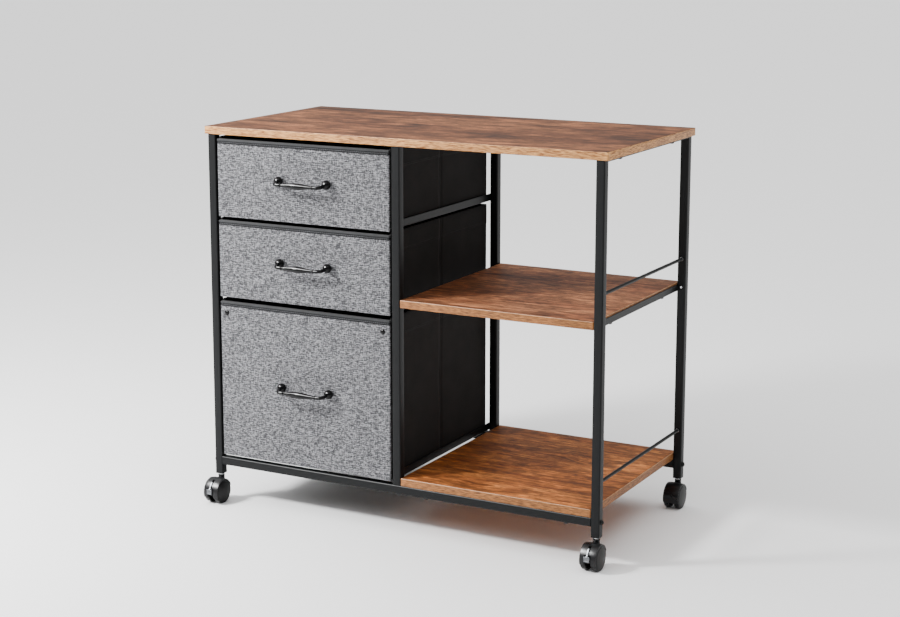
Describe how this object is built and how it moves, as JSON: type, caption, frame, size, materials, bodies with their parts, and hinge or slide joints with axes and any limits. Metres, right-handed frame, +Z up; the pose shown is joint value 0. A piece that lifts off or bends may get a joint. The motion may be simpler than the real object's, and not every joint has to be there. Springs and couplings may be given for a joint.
{
  "type": "rolling drawer cabinet",
  "caption": "Steel-tube cabinet on swivel casters: fabric drawers with cast handles on the left, open wood-grain shelves on the right, and a wood-grain top.",
  "frame": {"origin": "on the floor, under the centre of the overall box", "axes": "+Z up; the drawers open towards -Y; +X is to the right as seen from the front"},
  "size_m": [0.805, 0.4319, 0.7123],
  "materials": {
    "top_laminate": "satin wood grain",
    "shelf_laminate": "satin wood grain",
    "powder_coat": "textured powder coat",
    "linen": "heathered linen weave",
    "bin_felt": "dark non-woven felt",
    "fibreboard": "raw fibreboard",
    "gloss_black": "gloss enamel",
    "zinc": "bright zinc",
    "hood_plastic": "satin moulded",
    "wheel_plastic": "satin moulded"
  },
  "bodies": {
    "frame": {"bottom_shelf": "shelf_laminate", "file_drawer_left_runner": "powder_coat", "file_drawer_middle_runner": "powder_coat", "front_bottom_rail": "powder_coat", "front_left_post": "powder_coat", "front_left_stem": "zinc", "front_middle_post": "powder_coat", "front_right_post": "powder_coat", "front_right_stem": "zinc", "left_top_strip": "powder_coat", "lower_guard_rod": "powder_coat", "middle_drawer_left_runner": "powder_coat", "middle_drawer_middle_runner": "powder_coat", "middle_shelf": "shelf_laminate", "middle_shelf_rail": "powder_coat", "middle_top_strip": "powder_coat", "rear_bottom_rail": "powder_coat", "rear_left_post": "powder_coat", "rear_left_stem": "zinc", "rear_middle_post": "powder_coat", "rear_right_post": "powder_coat", "rear_right_stem": "zinc", "right_shelf_rail": "powder_coat", "right_top_strip": "powder_coat", "upper_drawer_left_runner": "powder_coat", "upper_drawer_middle_runner": "powder_coat", "upper_guard_rod": "powder_coat", "top_board": "top_laminate"},
    "upper_drawer": {"upper_drawer_base_board": "fibreboard", "upper_drawer_bin": "bin_felt", "upper_drawer_front_panel": "linen", "upper_drawer_handle": "gloss_black"},
    "middle_drawer": {"middle_drawer_base_board": "fibreboard", "middle_drawer_bin": "bin_felt", "middle_drawer_front_panel": "linen", "middle_drawer_handle": "gloss_black"},
    "file_drawer": {"file_drawer_base_board": "fibreboard", "file_drawer_bin": "bin_felt", "file_drawer_front_panel": "linen", "file_drawer_handle": "gloss_black", "left_file_rail": "gloss_black", "right_file_rail": "gloss_black"},
    "front_left_swivel": {"front_left_hood": "hood_plastic", "front_left_axle": "zinc"},
    "front_left_wheel_a": {"front_left_wheel_a": "wheel_plastic"},
    "front_left_wheel_b": {"front_left_wheel_b": "wheel_plastic"},
    "front_left_brake_lever": {"front_left_brake_lever": "zinc"},
    "front_right_swivel": {"front_right_hood": "hood_plastic", "front_right_axle": "zinc"},
    "front_right_wheel_a": {"front_right_wheel_a": "wheel_plastic"},
    "front_right_wheel_b": {"front_right_wheel_b": "wheel_plastic"},
    "front_right_brake_lever": {"front_right_brake_lever": "zinc"},
    "rear_left_swivel": {"rear_left_hood": "hood_plastic", "rear_left_axle": "zinc"},
    "rear_left_wheel_a": {"rear_left_wheel_a": "wheel_plastic"},
    "rear_left_wheel_b": {"rear_left_wheel_b": "wheel_plastic"},
    "rear_right_swivel": {"rear_right_hood": "hood_plastic", "rear_right_axle": "zinc"},
    "rear_right_wheel_a": {"rear_right_wheel_a": "wheel_plastic"},
    "rear_right_wheel_b": {"rear_right_wheel_b": "wheel_plastic"}
  },
  "joints": [
    {"name": "upper_drawer_slide", "type": "slide", "parent": "frame", "child": "upper_drawer", "axis": [0, -1, 0], "range_m": [0, 0.3]},
    {"name": "middle_drawer_slide", "type": "slide", "parent": "frame", "child": "middle_drawer", "axis": [0, -1, 0], "range_m": [0, 0.3]},
    {"name": "file_drawer_slide", "type": "slide", "parent": "frame", "child": "file_drawer", "axis": [0, -1, 0], "range_m": [0, 0.3]},
    {"name": "front_left_swivel_turn", "type": "hinge", "parent": "frame", "child": "front_left_swivel", "pos_m": [-0.386, -0.174, 0.05], "axis": [0, 0, 1], "continuous": true},
    {"name": "front_left_wheel_a_roll", "type": "hinge", "parent": "front_left_swivel", "child": "front_left_wheel_a", "pos_m": [-0.386, -0.188, 0.0225], "axis": [1, 0, 0], "continuous": true},
    {"name": "front_left_wheel_b_roll", "type": "hinge", "parent": "front_left_swivel", "child": "front_left_wheel_b", "pos_m": [-0.386, -0.188, 0.0225], "axis": [1, 0, 0], "continuous": true},
    {"name": "front_left_brake_lever_press", "type": "hinge", "parent": "front_left_swivel", "child": "front_left_brake_lever", "pos_m": [-0.386, -0.20067, 0.03931], "axis": [1, 0, 0], "range_deg": [0, 7]},
    {"name": "front_right_swivel_turn", "type": "hinge", "parent": "frame", "child": "front_right_swivel", "pos_m": [0.386, -0.174, 0.05], "axis": [0, 0, 1], "continuous": true},
    {"name": "front_right_wheel_a_roll", "type": "hinge", "parent": "front_right_swivel", "child": "front_right_wheel_a", "pos_m": [0.386, -0.188, 0.0225], "axis": [1, 0, 0], "continuous": true},
    {"name": "front_right_wheel_b_roll", "type": "hinge", "parent": "front_right_swivel", "child": "front_right_wheel_b", "pos_m": [0.386, -0.188, 0.0225], "axis": [1, 0, 0], "continuous": true},
    {"name": "front_right_brake_lever_press", "type": "hinge", "parent": "front_right_swivel", "child": "front_right_brake_lever", "pos_m": [0.386, -0.20067, 0.03931], "axis": [1, 0, 0], "range_deg": [0, 7]},
    {"name": "rear_left_swivel_turn", "type": "hinge", "parent": "frame", "child": "rear_left_swivel", "pos_m": [-0.386, 0.206, 0.05], "axis": [0, 0, 1], "continuous": true},
    {"name": "rear_left_wheel_a_roll", "type": "hinge", "parent": "rear_left_swivel", "child": "rear_left_wheel_a", "pos_m": [-0.386, 0.192, 0.0225], "axis": [1, 0, 0], "continuous": true},
    {"name": "rear_left_wheel_b_roll", "type": "hinge", "parent": "rear_left_swivel", "child": "rear_left_wheel_b", "pos_m": [-0.386, 0.192, 0.0225], "axis": [1, 0, 0], "continuous": true},
    {"name": "rear_right_swivel_turn", "type": "hinge", "parent": "frame", "child": "rear_right_swivel", "pos_m": [0.386, 0.206, 0.05], "axis": [0, 0, 1], "continuous": true},
    {"name": "rear_right_wheel_a_roll", "type": "hinge", "parent": "rear_right_swivel", "child": "rear_right_wheel_a", "pos_m": [0.386, 0.192, 0.0225], "axis": [1, 0, 0], "continuous": true},
    {"name": "rear_right_wheel_b_roll", "type": "hinge", "parent": "rear_right_swivel", "child": "rear_right_wheel_b", "pos_m": [0.386, 0.192, 0.0225], "axis": [1, 0, 0], "continuous": true}
  ]
}
